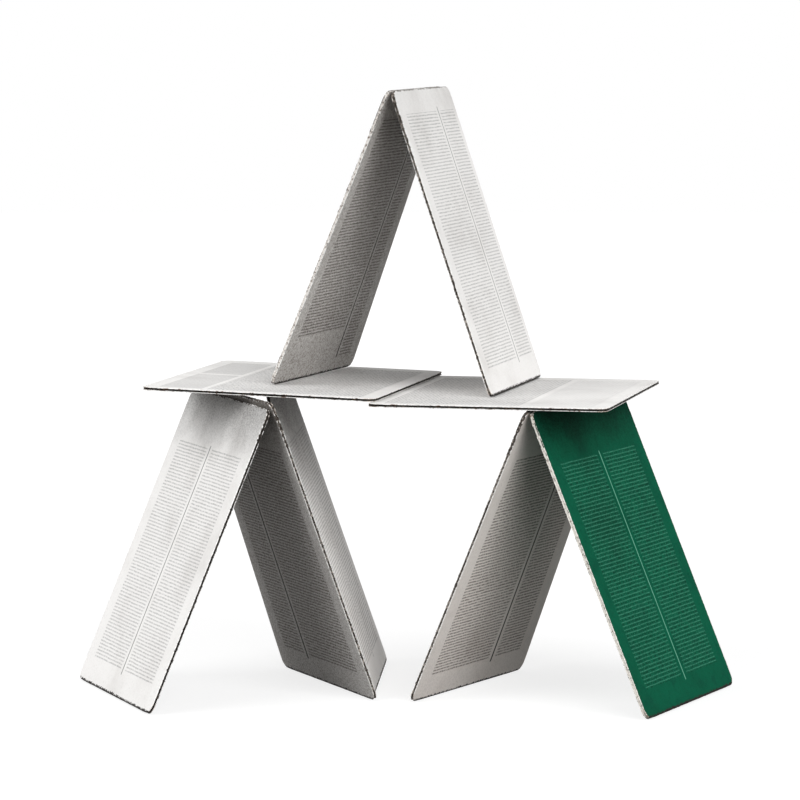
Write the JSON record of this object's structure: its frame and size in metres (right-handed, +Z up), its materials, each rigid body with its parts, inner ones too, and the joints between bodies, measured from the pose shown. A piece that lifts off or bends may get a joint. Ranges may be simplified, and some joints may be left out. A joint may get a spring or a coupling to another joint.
{
  "type": "house of cards",
  "caption": "House of thick printed cards with rounded corners: leaning pairs, deck cards laid across them and a leaning pair on top; one lower card is green.",
  "frame": {"origin": "middle of the whole house's bounding box, on the ground that the lower cards stand on", "axes": "+Z up; +X along the front, towards the green card; +Y away from the viewer, towards the far ends of the ridges"},
  "size_m": [0.2114, 0.1458, 0.1917],
  "materials": {
    "printed_board": "matte",
    "green_board": "matte",
    "deck_board": "matte"
  },
  "bodies": {
    "root": {"left_outer_card": "printed_board", "left_inner_card": "printed_board", "brace_card": "printed_board", "right_inner_card": "printed_board", "right_green_card": "green_board", "deck_left_card": "deck_board", "deck_right_card": "deck_board", "top_left_card": "printed_board", "top_right_card": "printed_board"}
  },
  "joints": []
}
